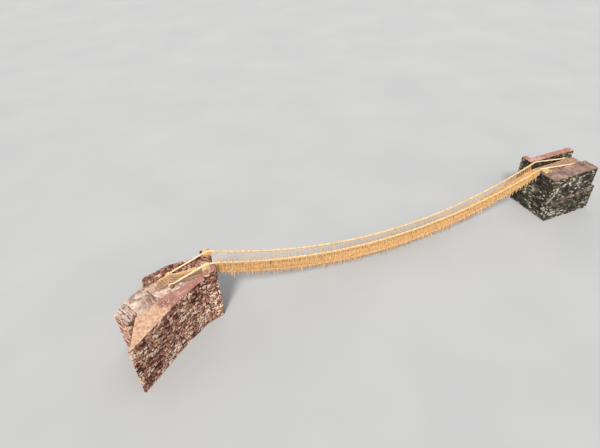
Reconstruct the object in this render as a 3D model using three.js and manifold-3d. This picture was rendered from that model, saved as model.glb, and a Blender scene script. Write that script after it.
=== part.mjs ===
// An Andean grass-rope footbridge between two dry-stone abutments.
// Units are millimetres, +X runs along the bridge, +Y is its far side and +Z is up.
// The model is first laid out from mid-span, with z = 0 under the floor ropes where they meet the sills,
// and the outer group then moves it so that the origin is the middle of its footprint, on the ground.

import * as THREE from "three";
import { mergeVertices } from "three/addons/utils/BufferGeometryUtils.js";
import Module from "manifold-3d";

const wasm = await Module();
wasm.setup();

// Driving dimensions
const GAP = 0.3; // between pieces that bear on each other
const BEYOND = 100; // how far a cutter stands out of what it cuts
const HALF_SPAN = 14000; // mid-span to the bend of the ropes over each sill
const SAG = 2886;
const ROPE_END_HEIGHT = 3600; // the ground to the underside of the floor ropes at the sills
const STATION = 1000; // straight length of rope between two bends
const FLOOR_ROPE_RADIUS = 100;
const FLOOR_ROPE_SPACING = 232;
const RAIL_RADIUS = 60;
const RAIL_HEIGHT = { left: 1040, middle: 1100, right: 680 }; // its centre above the floor ropes' underside
const RAIL_HALF_GAUGE = { left: 628, middle: 392, right: 461 };
const ROPE_SIDES = 8;
const MAT = { halfWidth: 410, thickness: 60 };
const MAT_STATIONS = 4; // straight lengths in one mat or one lacing panel
const LACING = { cord: 26, run: 30, perStation: 5 };
const SILL_INSET = 120; // from the bend of the ropes to the first turn of lacing and the first mat
const END_LENGTH = 100; // a short length of handrail that takes up the twist of its end bend
const PANEL_INSET = 5; // at both ends of a panel or a mat
const FRINGE = { radius: 24, length: 300, topInset: 12 }; // a tuft at every second drop

const PATH_TOP = -20; // top of both platforms
const FACE = HALF_SPAN + 50; // front face of both abutments
const SILL = { depth: 220, height: 200, halfLength: 780, recess: 3 };
const ANCHOR_LOG = { radius: 120, sides: 12 };
// Loose ends of the floor ropes behind their logs, near to far
const TAIL = { drop: 240, left: [520, 640, 460, 330], right: [640, 540, 720, 590] };
const LEFT_TAIL_TURN = (-18 * Math.PI) / 180; // the left ones lie along the causeway
const LEFT_LOG = { x: -17000, y: [-740, 650], railY: 550 };
const RIGHT_LOG = { x: 17700, y: [-620, 610], railY: 520 };
// Where the handrails lie flat on what carries them
const LEFT_BEARING = { near: [-14740, -14520], far: [-14340, -14120], y: 628, z: 1085 };
const RIGHT_BEARING = { x: [14280, 14520], y: 560, z: 680 };

const LEFT_WALL_TOP = 400;
const LEFT_FAR_WALL_TOP = 420;
const LEFT_PILLAR = { nearBack: -14950, farBack: -14650, inner: 470, top: 850 };
const RIGHT_WALL_TOP = 320;
const RIGHT_FAR_TOP = 624; // the far handrail lies on it
const CAP = 70; // thickness of a mud cap
const PAD = { halfWidth: 215, sides: 12 };
const LEFT_PAD = { near: [-900, -490], far: [490, 900] }; // across the bridge
const RIGHT_PAD = [-820, -480];
const STEP = { tread: 420, riser: 170, count: 2 };
const LANDING_TOP = PATH_TOP - STEP.riser; // the lower end of the causeway, before its stair

// Outlines in plan, anticlockwise, from mid-span
const NEAR_PARAPET_OUTER = [[-15400, -1350], [-17370, -2750], [-19240, -4340], [-20180, -5080]];
const NEAR_PARAPET_INNER = [
  [-19490, -2670],
  [-18630, -2170],
  [-17820, -1670],
  [-16440, -1260],
  [-15300, -760],
];
const FRONT_CORNER = [-FACE, -950];
const PILLAR_CORNER = [LEFT_PILLAR.nearBack, -1217];
const STAIR_HEAD = [[-19440, -1770], [-20070, -440]];
const FAR_WALL_OUTER = [[-18620, 560], [-17000, 1120], [-FACE, 1100]];
const FAR_WALL_INNER = [[-17000, 690], [-18750, 120]];
const FAR_WALL_FRONT_INNER = 760; // its inner face at the pillar
const RIGHT_END = 18900;
const RIGHT_NEAR = -1950;
const RIGHT_FAR = { ropeSide: 470, inner: 720, outer: 1250, stub: 1750, stubBack: 14500 };
const RIGHT_NEAR_INNER = { block: -470, blockBack: 14750, path: -640 };
const CORNER_ROUND = 450;
const FOOTING = { out: 300, topFront: -2350, topBack: -1350 };
const GUTTER = { y: [600, 722], x: [14498, 18300], depth: 300 };

const apothem = (radius, sides) => radius * Math.cos(Math.PI / sides);
const ROPE_FLAT = apothem(FLOOR_ROPE_RADIUS, ROPE_SIDES);
const RAIL_FLAT = apothem(RAIL_RADIUS, ROPE_SIDES);

// Materials
const paint = (color, roughness) => () => new THREE.MeshStandardMaterial({ color, roughness, metalness: 0 });
const grassRope = paint(0xd9bd86, 0.9);
const grassCord = paint(0xc9a869, 0.95);
const stickMat = paint(0xc39556, 0.95);
const straw = paint(0xd8bb78, 0.95);
const purpleStone = paint(0x84655e, 0.95);
const greenStone = paint(0x5a564b, 0.95);
const pavingStone = paint(0xc8ac9a, 0.9);
const redMud = paint(0xb37468, 0.95);
const timber = paint(0x9c7a4f, 0.85);

const layout = new THREE.Group();

function place(name, geometry, material) {
  const mesh = new THREE.Mesh(geometry, material());
  mesh.name = name;
  layout.add(mesh);
  return mesh;
}

// Joining and cutting
function solid(geometry) {
  const bare = geometry.index ? geometry.toNonIndexed() : geometry.clone();
  bare.deleteAttribute("normal");
  bare.deleteAttribute("uv");
  const merged = mergeVertices(bare, 1e-3);
  const triVerts = new Uint32Array(merged.index.array);
  return new wasm.Manifold(
    new wasm.Mesh({ numProp: 3, vertProperties: merged.attributes.position.array, triVerts }),
  );
}

function geometryOf(manifold) {
  const mesh = manifold.getMesh();
  const geometry = new THREE.BufferGeometry();
  geometry.setAttribute("position", new THREE.BufferAttribute(mesh.vertProperties, 3));
  geometry.setIndex(new THREE.BufferAttribute(mesh.triVerts, 1));
  return geometry;
}

const joined = (geometries) => geometryOf(geometries.map(solid).reduce((all, next) => all.add(next)));
const cut = (geometry, ...tools) =>
  geometryOf(tools.map(solid).reduce((rest, tool) => rest.subtract(tool), solid(geometry)));

// Simple bodies
function block(x, y, z) {
  const geometry = new THREE.BoxGeometry(x[1] - x[0], y[1] - y[0], z[1] - z[0]);
  return geometry.translate((x[0] + x[1]) / 2, (y[0] + y[1]) / 2, (z[0] + z[1]) / 2);
}

// A plan outline raised from one height to another.
function prism(outline, low, high) {
  const shape = new THREE.Shape(outline.map(([x, y]) => new THREE.Vector2(x, y)));
  const geometry = new THREE.ExtrudeGeometry(shape, { depth: high - low, bevelEnabled: false });
  return geometry.translate(0, 0, low);
}

function regular(radiusX, radiusY, sides) {
  const points = [];
  for (let i = 0; i < sides; i++) {
    const angle = ((i + 0.5) * 2 * Math.PI) / sides;
    points.push(new THREE.Vector2(radiusX * Math.cos(angle), radiusY * Math.sin(angle)));
  }
  return new THREE.Shape(points);
}

// A round body lying across the bridge, with a flat side up and a flat side down.
function roller(radiusX, radiusZ, sides, x, y, z) {
  const shape = regular(radiusX, radiusZ, sides);
  const geometry = new THREE.ExtrudeGeometry(shape, { depth: y[1] - y[0], bevelEnabled: false });
  return geometry.rotateX(Math.PI / 2).translate(x, y[1], z);
}

// A path of straight lengths whose cross-sections stay upright: their x points to the side and their y up.
class UprightPath extends THREE.Curve {
  constructor(points) {
    super();
    this.points = points.map((p) => new THREE.Vector3(...p));
  }
  getPoint(t, target = new THREE.Vector3()) {
    const place = t * (this.points.length - 1);
    const i = Math.min(Math.floor(place), this.points.length - 2);
    return target.lerpVectors(this.points[i], this.points[i + 1], place - i);
  }
  getPointAt(u, target) {
    return this.getPoint(u, target);
  }
  computeFrenetFrames() {
    const last = this.points.length - 1;
    const along = (i) => this.points[i + 1].clone().sub(this.points[i]).normalize();
    const tangents = this.points.map((_, i) =>
      along(Math.max(i - 1, 0)).add(along(Math.min(i, last - 1))).normalize(),
    );
    const normals = [];
    for (const tangent of tangents) {
      const side = new THREE.Vector3(0, 0, 1).cross(tangent);
      const before = normals.at(-1) ?? new THREE.Vector3(0, 1, 0);
      if (side.length() < 0.2) side.copy(before).addScaledVector(tangent, -before.dot(tangent));
      if (side.dot(before) < 0) side.negate();
      normals.push(side.normalize());
    }
    const binormals = tangents.map((tangent, i) => tangent.clone().cross(normals[i]));
    return { tangents, normals, binormals };
  }
}

function sweep(points, shape) {
  const path = new UprightPath(points);
  return new THREE.ExtrudeGeometry(shape, { extrudePath: path, steps: points.length - 1 });
}

const rectangle = (x0, x1, y0, y1) =>
  new THREE.Shape([[x0, y0], [x1, y0], [x1, y1], [x0, y1]].map((p) => new THREE.Vector2(...p)));

// The lines of the ropes
const STATIONS = (2 * HALF_SPAN) / STATION;
const stationX = (i) => -HALF_SPAN + i * STATION;
const undersideZ = (x) => -SAG * (1 - (x / HALF_SPAN) ** 2);
const floorZ = (x) => undersideZ(x) + ROPE_FLAT;

// A quadratic through values given at the left end, the middle and the right end.
function alongSpan({ left, middle, right }, x) {
  const t = x / HALF_SPAN;
  return middle + ((right - left) / 2) * t + ((right + left) / 2 - middle) * t * t;
}
const railZ = (x) => undersideZ(x) + alongSpan(RAIL_HEIGHT, x);
const railY = (x) => alongSpan(RAIL_HALF_GAUGE, x);

// A rope's way over an anchor log, from its top side towards the span to where it stops or lies down behind.
function overLog(log, y, ropeFlat, toSpan, tail) {
  const { radius, sides } = ANCHOR_LOG;
  const step = Math.PI / sides;
  const centreZ = PATH_TOP + GAP + apothem(radius, sides);
  const reach = (apothem(radius, sides) + GAP + ropeFlat) / Math.cos(step);
  const turns = [];
  const lastTurn = tail ? 9 : 13;
  for (let i = 3; i <= lastTurn; i += 2)
    turns.push([log.x + toSpan * reach * Math.cos(i * step), y, centreZ + reach * Math.sin(i * step)]);
  if (!tail) return turns;
  const layX = turns.at(-1)[0] - toSpan * TAIL.drop;
  const layZ = PATH_TOP + GAP + ropeFlat;
  const endX = layX - toSpan * tail.length * Math.cos(tail.turn);
  return [...turns, [layX, y, layZ], [endX, y + tail.length * Math.sin(tail.turn), layZ]];
}

const spanPoints = (yAt, zAt) =>
  Array.from({ length: STATIONS + 1 }, (_, i) => [stationX(i), yAt(stationX(i)), zAt(stationX(i))]);

const between = (line, i, share) => line[i].map((v, k) => v + (line[i + 1][k] - v) * share);

// Where a floor rope leaves the platform to climb on to its log.
function climb(turns, ropeFlat, toSpan) {
  const [x, , z] = turns[0];
  return x + toSpan * (z - ropeFlat) * Math.tan(Math.PI / 3);
}

function floorRope(i) {
  const y = (i - 1.5) * FLOOR_ROPE_SPACING;
  const left = overLog(LEFT_LOG, y, ROPE_FLAT, 1, { length: TAIL.left[i], turn: LEFT_TAIL_TURN });
  const right = overLog(RIGHT_LOG, y, ROPE_FLAT, -1, { length: TAIL.right[i], turn: 0 });
  const points = [
    ...[...left].reverse(),
    [climb(left, ROPE_FLAT, 1), y, ROPE_FLAT],
    ...spanPoints(() => y, floorZ),
    [climb(right, ROPE_FLAT, -1), y, ROPE_FLAT],
    ...right,
  ];
  return sweep(points, regular(FLOOR_ROPE_RADIUS, FLOOR_ROPE_RADIUS, ROPE_SIDES));
}

function handrail(side) {
  const line = spanPoints((x) => side * railY(x), railZ);
  const nearEnd = END_LENGTH / STATION;
  const leftBearing = side < 0 ? LEFT_BEARING.near : LEFT_BEARING.far;
  const left = overLog(LEFT_LOG, side * LEFT_LOG.railY, RAIL_FLAT, 1);
  const right = overLog(RIGHT_LOG, side * RIGHT_LOG.railY, RAIL_FLAT, -1);
  const points = [
    ...left.reverse(),
    ...leftBearing.map((x) => [x, side * LEFT_BEARING.y, LEFT_BEARING.z]),
    line[0],
    between(line, 0, nearEnd),
    ...line.slice(1, -1),
    between(line, STATIONS - 1, 1 - nearEnd),
    line.at(-1),
    ...RIGHT_BEARING.x.map((x) => [x, side * RIGHT_BEARING.y, RIGHT_BEARING.z]),
    ...right,
  ];
  return sweep(points, regular(RAIL_RADIUS, RAIL_RADIUS, ROPE_SIDES));
}

// Points i0 to i1 of a line, drawn in a little so that neighbours don't touch, and more at the sills,
// where the ropes bend.
function stretch(line, i0, i1) {
  const points = line.slice(i0, i1 + 1).map((p) => new THREE.Vector3(...p));
  const inset = (i) => (i === 0 || i === STATIONS ? SILL_INSET : PANEL_INSET);
  const nudge = (from, to, by) => from.addScaledVector(to.clone().sub(from).normalize(), by);
  nudge(points[0], points[1], inset(i0));
  nudge(points.at(-1), points.at(-2), inset(i1));
  return points.map((p) => p.toArray());
}

// A straight square bar between two points.
function bar(from, to, width) {
  const a = new THREE.Vector3(...from);
  const b = new THREE.Vector3(...to);
  const geometry = new THREE.BoxGeometry(width, width, a.distanceTo(b));
  const turn = new THREE.Quaternion().setFromUnitVectors(
    new THREE.Vector3(0, 0, 1),
    b.clone().sub(a).normalize(),
  );
  return geometry.applyQuaternion(turn).translate(...a.add(b).multiplyScalar(0.5).toArray());
}

// One panel of side lacing: a cord wound along the handrail and along the outer floor rope,
// with a drop between them at every turn and its loose ends hanging below the floor.
function lacingPanel(side, first) {
  const last = first + MAT_STATIONS;
  const rail = spanPoints((x) => side * railY(x), railZ);
  const floor = spanPoints(() => side * 1.5 * FLOOR_ROPE_SPACING, floorZ);
  const underRail = -RAIL_FLAT - GAP;
  const outside = ROPE_FLAT + GAP;
  const half = LACING.run / 2;
  const railRun = rectangle(-half, half, underRail - LACING.run, underRail);
  const floorSides = side > 0 ? [outside, outside + LACING.run] : [-outside - LACING.run, -outside];
  const floorRun = rectangle(...floorSides, -half, half);
  const pieces = [sweep(stretch(rail, first, last), railRun), sweep(stretch(floor, first, last), floorRun)];
  for (let i = first; i < last; i++)
    for (let k = 0; k < LACING.perStation; k++) {
      const share = (k + 0.5) / LACING.perStation;
      const top = between(rail, i, share);
      const foot = between(floor, i, share);
      top[2] += underRail - half;
      foot[1] += side * (outside + LACING.run - LACING.cord / 2);
      pieces.push(bar(top, foot, LACING.cord));
      if (((i - first) * LACING.perStation + k) % 2) {
        const spike = new THREE.ConeGeometry(FRINGE.radius, FRINGE.length, 3).rotateX(-Math.PI / 2);
        const spikeY = foot[1] + (side * LACING.cord) / 2; // on the outer face of the run
        pieces.push(spike.translate(foot[0], spikeY, foot[2] - FRINGE.length / 2 + FRINGE.topInset));
      }
    }
  return joined(pieces);
}

function deckMat(first) {
  const line = spanPoints(() => 0, floorZ);
  const low = ROPE_FLAT + GAP;
  const section = rectangle(-MAT.halfWidth, MAT.halfWidth, low, low + MAT.thickness);
  return sweep(stretch(line, first, first + MAT_STATIONS), section);
}

// Ropes, lacing and deck
for (let i = 0; i < 4; i++)
  place(`floor_rope_${i + 1}`, floorRope(i), grassRope);
place("handrail_rope_near", handrail(-1), grassRope);
place("handrail_rope_far", handrail(1), grassRope);
for (let i = 0; i * MAT_STATIONS < STATIONS; i++) {
  place(`near_lacing_${i + 1}`, lacingPanel(-1, i * MAT_STATIONS), grassCord);
  place(`far_lacing_${i + 1}`, lacingPanel(1, i * MAT_STATIONS), grassCord);
  place(`deck_mat_${i + 1}`, deckMat(i * MAT_STATIONS), stickMat);
}

// Sill beams, let into the front edges of the platforms, and the anchor logs behind them
const GROUND = -ROPE_END_HEIGHT;
function sillBeam(frontX, towards, grow = 0) {
  const front = frontX + towards * SILL.recess;
  const [x0, x1] = [front, front + towards * SILL.depth].sort((a, b) => a - b);
  const y = SILL.halfLength + grow;
  return block([x0 - grow, x1 + grow], [-y, y], [-GAP - SILL.height - grow, -GAP + grow]);
}
const leftSillSeat = sillBeam(-FACE, -1, GAP);
const rightSillSeat = sillBeam(FACE, 1, GAP);
place("left_sill_beam", sillBeam(-FACE, -1), timber);
place("right_sill_beam", sillBeam(FACE, 1), timber);

function anchorLog(log) {
  const { radius, sides } = ANCHOR_LOG;
  return roller(radius, radius, sides, log.x, log.y, PATH_TOP + GAP + apothem(radius, sides));
}
place("left_anchor_log", anchorLog(LEFT_LOG), timber);
place("right_anchor_log", anchorLog(RIGHT_LOG), timber);

// The left abutment: a walled causeway that bends towards the near side
const backwards = (outline) => [...outline].reverse();
const farFrontCorner = FAR_WALL_OUTER.at(-1);
const farWallBack = backwards(FAR_WALL_OUTER.slice(0, -1));
const leftCore = prism(
  [
    FRONT_CORNER,
    farFrontCorner,
    ...farWallBack,
    ...backwards(STAIR_HEAD),
    NEAR_PARAPET_INNER[0],
    ...backwards(NEAR_PARAPET_OUTER),
    PILLAR_CORNER,
  ],
  GROUND,
  PATH_TOP,
);
const farWallEnd = FAR_WALL_INNER.at(-1);
const landing = prism(
  [
    farWallEnd,
    FAR_WALL_OUTER[0],
    [STAIR_HEAD[1][0] - BEYOND, FAR_WALL_OUTER[0][1]],
    [STAIR_HEAD[1][0] - BEYOND, NEAR_PARAPET_INNER[0][1]],
    ...NEAR_PARAPET_INNER.slice(0, 3),
  ],
  LANDING_TOP,
  PATH_TOP + BEYOND,
);
place("left_abutment", cut(leftCore, leftSillSeat, landing), purpleStone);

const courseZ = PATH_TOP + GAP;
const pillarBacks = { near: LEFT_PILLAR.nearBack - GAP, far: LEFT_PILLAR.farBack - GAP };
const nearWallOutline = [
  [pillarBacks.near, -LEFT_PILLAR.inner],
  ...backwards(NEAR_PARAPET_INNER),
  ...backwards(NEAR_PARAPET_OUTER),
  [pillarBacks.near, PILLAR_CORNER[1]],
];
const leftWallJoint = LEFT_WALL_TOP - CAP;
place("left_near_wall", prism(nearWallOutline, courseZ, leftWallJoint - GAP), purpleStone);
place("left_near_mud_cap", prism(nearWallOutline, leftWallJoint, LEFT_WALL_TOP), redMud);

const farWallOutline = [
  [pillarBacks.far, FAR_WALL_FRONT_INNER],
  [pillarBacks.far, farFrontCorner[1]],
  ...farWallBack,
  ...backwards(FAR_WALL_INNER),
];
place("left_far_wall", prism(farWallOutline, courseZ, LEFT_FAR_WALL_TOP), purpleStone);

function leftPillar(outline) {
  return cut(prism(outline, courseZ, LEFT_PILLAR.top), leftSillSeat);
}
const nearPillarInner = [LEFT_PILLAR.nearBack, -FACE].map((x) => [x, -LEFT_PILLAR.inner]);
const nearPillar = leftPillar([FRONT_CORNER, ...backwards(nearPillarInner), PILLAR_CORNER]);
place("left_near_pillar", nearPillar, purpleStone);
const farPillarOutline = [
  [-FACE, LEFT_PILLAR.inner],
  farFrontCorner,
  [LEFT_PILLAR.farBack, farFrontCorner[1]],
  [LEFT_PILLAR.farBack, LEFT_PILLAR.inner],
];
place("left_far_pillar", leftPillar(farPillarOutline), purpleStone);

// Straw pads between the handrails and what they bear on
function pad(x, y, low, railCentre) {
  const high = railCentre - RAIL_FLAT - GAP;
  const radiusZ = (high - low) / 2 / Math.cos(Math.PI / PAD.sides);
  return roller(PAD.halfWidth, radiusZ, PAD.sides, x, y, (low + high) / 2);
}
const centre = ([from, to]) => (from + to) / 2;
const onPillar = LEFT_PILLAR.top + GAP;
place("left_near_pad", pad(centre(LEFT_BEARING.near), LEFT_PAD.near, onPillar, LEFT_BEARING.z), straw);
place("left_far_pad", pad(centre(LEFT_BEARING.far), LEFT_PAD.far, onPillar, LEFT_BEARING.z), straw);

// The head of the stair that leaves the causeway
const [headNear, headFar] = STAIR_HEAD.map((p) => new THREE.Vector2(...p));
const down = headFar.clone().sub(headNear).normalize().rotateAround(new THREE.Vector2(), Math.PI / 2);
for (let i = 0; i < STEP.count; i++) {
  const at = (end, distance) => end.clone().addScaledVector(down, distance).toArray();
  const front = i * STEP.tread + GAP;
  const back = (i + 1) * STEP.tread;
  const tread = [at(headNear, front), at(headFar, front), at(headFar, back), at(headNear, back)];
  place(`left_step_${i + 1}`, prism(tread, GROUND, LANDING_TOP - (i + 1) * STEP.riser), pavingStone);
}

// The right abutment: square to the bridge, with a walled path and an upstand beside the far handrail
const farStub = [
  [RIGHT_END, RIGHT_FAR.outer],
  [RIGHT_FAR.stubBack, RIGHT_FAR.outer],
  [RIGHT_FAR.stubBack, RIGHT_FAR.stub],
  [FACE, RIGHT_FAR.stub],
];
const rightCore = prism([[FACE, RIGHT_NEAR], [RIGHT_END, RIGHT_NEAR], ...farStub], GROUND, PATH_TOP);
const gutter = block(GUTTER.x, GUTTER.y, [PATH_TOP - GUTTER.depth, PATH_TOP + BEYOND]);
place("right_abutment", cut(rightCore, rightSillSeat, gutter), greenStone);

// The near front corner is rounded, in three short faces.
const roundCorner = [0, 1, 2, 3].map((i) => {
  const angle = Math.PI + (i * Math.PI) / 6;
  return [FACE + CORNER_ROUND * (1 + Math.cos(angle)), RIGHT_NEAR + CORNER_ROUND * (1 + Math.sin(angle))];
});
const { block: blockY, blockBack, path: pathY } = RIGHT_NEAR_INNER;
const rightNearOutline = [
  ...roundCorner,
  [RIGHT_END, RIGHT_NEAR],
  [RIGHT_END, pathY],
  [blockBack, pathY],
  [blockBack, blockY],
  [FACE, blockY],
];
const rightWallJoint = RIGHT_WALL_TOP - CAP;
const rightNearWall = cut(prism(rightNearOutline, courseZ, rightWallJoint - GAP), rightSillSeat);
place("right_near_wall", rightNearWall, greenStone);
place("right_near_mud_cap", prism(rightNearOutline, rightWallJoint, RIGHT_WALL_TOP), redMud);

const rightFarOutline = [[RIGHT_FAR.stubBack, RIGHT_FAR.inner], [RIGHT_END, RIGHT_FAR.inner], ...farStub];
const ropeLedge = [FACE, RIGHT_FAR.stubBack].map((x) => [x, RIGHT_FAR.ropeSide]);
const rightFarWall = prism([...ropeLedge, ...rightFarOutline], courseZ, RIGHT_FAR_TOP);
place("right_far_wall", cut(rightFarWall, rightSillSeat), greenStone);
const rightFarCap = [[FACE, RIGHT_FAR.inner], ...rightFarOutline];
place("right_far_mud_cap", prism(rightFarCap, RIGHT_FAR_TOP + GAP, RIGHT_FAR_TOP + GAP + CAP), redMud);
const rightPad = pad(centre(RIGHT_BEARING.x), RIGHT_PAD, RIGHT_WALL_TOP + GAP, RIGHT_BEARING.z);
place("right_near_pad", rightPad, straw);

// The footing ledge along the foot of the near face
const ledge = new THREE.Shape(
  [[FACE, GROUND], [RIGHT_END, GROUND], [RIGHT_END, FOOTING.topBack], [FACE, FOOTING.topFront]].map(
    (p) => new THREE.Vector2(...p),
  ),
);
const ledgeBody = new THREE.ExtrudeGeometry(ledge, { depth: FOOTING.out - GAP, bevelEnabled: false });
place("right_footing", ledgeBody.rotateX(Math.PI / 2).translate(0, RIGHT_NEAR - GAP, 0), greenStone);

// The origin goes to the middle of the footprint, on the ground
const box = new THREE.Box3().setFromObject(layout);
const middle = box.getCenter(new THREE.Vector3());
layout.position.set(-middle.x, -middle.y, ROPE_END_HEIGHT);

const group = new THREE.Group();
group.add(layout);

export default group;
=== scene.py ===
# %% [markdown]
# # A grass-rope footbridge between two stone abutments
# Four thick ropes of twisted grass carry a mat of sticks, two thinner ones run at hand height, and cord
# is laced between them. Dry-stone abutments hold the ends. The solids of the construction come in
# first, as a fixed frame, and everything below is laid over them in the same metres.

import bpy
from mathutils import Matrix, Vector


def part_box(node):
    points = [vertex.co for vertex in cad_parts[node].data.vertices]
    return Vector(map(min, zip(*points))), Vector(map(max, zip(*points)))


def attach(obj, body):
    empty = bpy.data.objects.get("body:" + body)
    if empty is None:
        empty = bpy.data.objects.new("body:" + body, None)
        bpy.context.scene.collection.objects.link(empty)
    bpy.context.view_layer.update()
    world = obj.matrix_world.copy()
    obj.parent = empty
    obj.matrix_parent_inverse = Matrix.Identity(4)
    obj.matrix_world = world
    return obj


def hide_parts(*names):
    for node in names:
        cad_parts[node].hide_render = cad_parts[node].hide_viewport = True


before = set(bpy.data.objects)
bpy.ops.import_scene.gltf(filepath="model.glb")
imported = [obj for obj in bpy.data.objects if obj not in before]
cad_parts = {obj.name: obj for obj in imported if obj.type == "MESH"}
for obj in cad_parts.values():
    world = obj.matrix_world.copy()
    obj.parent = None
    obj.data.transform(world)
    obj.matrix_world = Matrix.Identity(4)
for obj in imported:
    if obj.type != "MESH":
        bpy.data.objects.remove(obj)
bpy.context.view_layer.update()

import random
from contextlib import contextmanager
from math import cos, pi, radians, sin, sqrt

import bpy
import numpy as np
from mathutils import Matrix, Vector, kdtree, noise

# %% [markdown]
# ## Where the bridge is
# Ropes are easiest to think about from mid-span, at the level where the floor ropes cross their sills.
# The middle mat gives that point's place in plan, and the top of the left masonry gives its height.

# %% The bridge's own measures, in metres from mid-span
PATH_TOP, FOOT = -0.02, -3.6  # FOOT is where both abutments stand
HALF_SPAN, SAG = 14.0, 2.886
FACE = 14.05  # the front of either abutment
ROPE_RADIUS, ROPE_SPACING = 0.1, 0.232
RAIL_RADIUS = 0.06
RAIL_HEIGHT = (1.04, 1.10, 0.68)  # left, middle, right
RAIL_GAUGE = (0.628, 0.392, 0.461)
UP, SIDEWAYS = Vector((0, 0, 1)), Vector((0, 1, 0))

mat_low, mat_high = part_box("deck_mat_4")
MID = Vector((*((mat_low + mat_high) / 2).xy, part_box("left_abutment")[1].z - PATH_TOP))


def spot(x, y, z):
    """A point given from mid-span, in the frame."""
    return MID + Vector((x, y, z))


print("mid-span is at", [round(v, 3) for v in MID])

# %% [markdown]
# ## Working in steps
# Every operator acts on what is selected, and the frame's nodes arrive selected, so each step selects
# only its own piece. A finished piece has its place in its mesh, rides on the frame, takes its finish
# and hides the solids that it stands for.


# %% Small helpers for selecting, making and keeping
def pick(*objects):
    bpy.ops.object.select_all(action="DESELECT")
    for obj in objects:
        obj.select_set(True)
    bpy.context.view_layer.objects.active = objects[0]


def named(name):
    """The object that an operator has just made, with a name of its own."""
    obj = bpy.context.active_object
    obj.name = name
    obj.data.name = name
    return obj


def settle():
    """Puts the place, turn and size of the selected piece into its mesh."""
    bpy.ops.object.transform_apply(location=True, rotation=True, scale=True)


@contextmanager
def editing(select="SELECT"):
    """Edit mode and back. Everything in the mesh is selected first, or nothing, or it is left."""
    bpy.ops.object.mode_set(mode="EDIT")
    if select:
        bpy.ops.mesh.select_all(action=select)
    yield
    bpy.ops.object.mode_set(mode="OBJECT")


def store(obj, name, kind, domain, values):
    """Gives each point or face its own number or direction, for the finishes to read."""
    layer = obj.data.attributes.new(name, kind, domain)
    field = "value" if kind == "FLOAT" else "vector"
    layer.data.foreach_set(field, np.array(values, np.float32).ravel())


def mesh_piece(name, points, faces, tones):
    """A piece from points and faces, with a tone from 0 to 1 for each face."""
    mesh = bpy.data.meshes.new(name)
    mesh.from_pydata([tuple(p) for p in points], [], faces)
    obj = bpy.data.objects.new(name, mesh)
    bpy.context.scene.collection.objects.link(obj)
    store(obj, "tone", "FLOAT", "FACE", tones)
    return obj


def harden(obj, kind, **settings):
    """Adds a modifier and applies it."""
    pick(obj)
    modifier = obj.modifiers.new(kind.title(), kind)
    for key, value in settings.items():
        setattr(modifier, key, value)
    bpy.ops.object.modifier_apply(modifier=modifier.name)


def copy_of(node, name):
    """A merged copy of one of the frame's solids, to be worked on."""
    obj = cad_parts[node].copy()
    obj.data = obj.data.copy()
    obj.parent = None
    for key in list(obj.keys()):
        del obj[key]
    bpy.context.scene.collection.objects.link(obj)
    pick(obj)
    obj.name = name
    with editing():
        bpy.ops.mesh.remove_doubles(threshold=0.0001)
    return obj


def jitter(draw, *spans):
    """A random vector, as far as a span to either side on each axis."""
    return Vector([draw.uniform(-span, span) if span else 0.0 for span in spans])


def measure(route):
    return sum((b - a).length for a, b in zip(route, route[1:]))


triangles = {}


def keep(obj, finish, slot, *nodes):
    """Gives a finished piece its material, its body and the solids that it stands for; its slot is not
    used.
    """
    obj.data.materials.clear()
    obj.data.materials.append(finish)
    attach(obj, "root")
    if nodes:
        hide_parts(*nodes)
    triangles[obj.name] = sum(len(p.vertices) - 2 for p in obj.data.polygons)
    print(obj.name, triangles[obj.name], "triangles")


# %% [markdown]
# ## The camera
# It stands high on the near side of the left abutment, looks down by 38 degrees and leans a little. A
# camera that isn't turned looks straight down, so it is leaned, raised and then turned to its heading.

# %% The camera
YAW, PITCH, ROLL = (radians(a) for a in (-21.43, 38.06, -2.26))
LENS = 28.02
EYE = spot(-17.002, -23.815, 21.728)

bpy.ops.object.camera_add()
camera = named("camera")
camera.data.lens = LENS
camera.data.clip_end = 500
turns = (YAW, "Z"), (pi / 2 - PITCH, "X"), (ROLL, "Z")
heading, rise, lean = (Matrix.Rotation(angle, 4, axis) for angle, axis in turns)
camera.matrix_world = Matrix.Translation(EYE) @ heading @ rise @ lean
bpy.context.scene.camera = camera
print("the camera looks from", [round(v, 2) for v in EYE])

# %% [markdown]
# ## Floor and light
# The floor is a pale sheet without a joint. One sun gives soft shadows from the left, and a pale sky
# fills them. Two much weaker suns with a disc as wide as a window open up the walls: the first those
# that the camera sees, the second the far sides.

# %% The floor and the lights
bpy.ops.mesh.primitive_plane_add(size=900, location=(0, 0, -0.002))
floor = named("studio_floor")
settle()

WARM, NEUTRAL = (1.0, 0.965, 0.91), (1.0, 1.0, 1.0)
for name, turned, power, disc, color in (
    ("soft_sun", (34, -28, 0), 3.6, 14, WARM),
    ("near_fill", (64, 0, 0), 0.75, 60, NEUTRAL),
    ("far_fill", (76, 0, 150), 0.9, 60, NEUTRAL),
):
    bpy.ops.object.light_add(type="SUN", rotation=[radians(a) for a in turned])
    lamp = named(name)
    lamp.data.energy = power
    lamp.data.angle = radians(disc)
    lamp.data.color = color

SKY = {"Color": (0.80, 0.86, 0.95, 1), "Strength": 0.62}
world = bpy.data.worlds.new("studio")
bpy.context.scene.world = world
world.use_nodes = True
for key, value in SKY.items():
    world.node_tree.nodes["Background"].inputs[key].default_value = value
bpy.context.scene.view_settings.view_transform = "Standard"
print("three suns and a sky of strength", SKY["Strength"])

# %% [markdown]
# ## Finishes
# Each finish is a small tree of nodes: a texture coordinate, some noise, a ramp of colours and a
# bump. The helper below wires such a tree in a few words. Colours are written as they look on a screen,
# from 0 to 255, and turned into the linear numbers that a shader wants.


# %% A helper that wires materials
def linear(color):
    """A shader's colour, from three numbers as on a screen or from one grey from 0 to 1."""
    if isinstance(color, tuple):
        return (*[((v / 255 + 0.055) / 1.055) ** 2.4 if v > 10 else v / 3294 for v in color], 1)
    return (color, color, color, 1)


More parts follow.
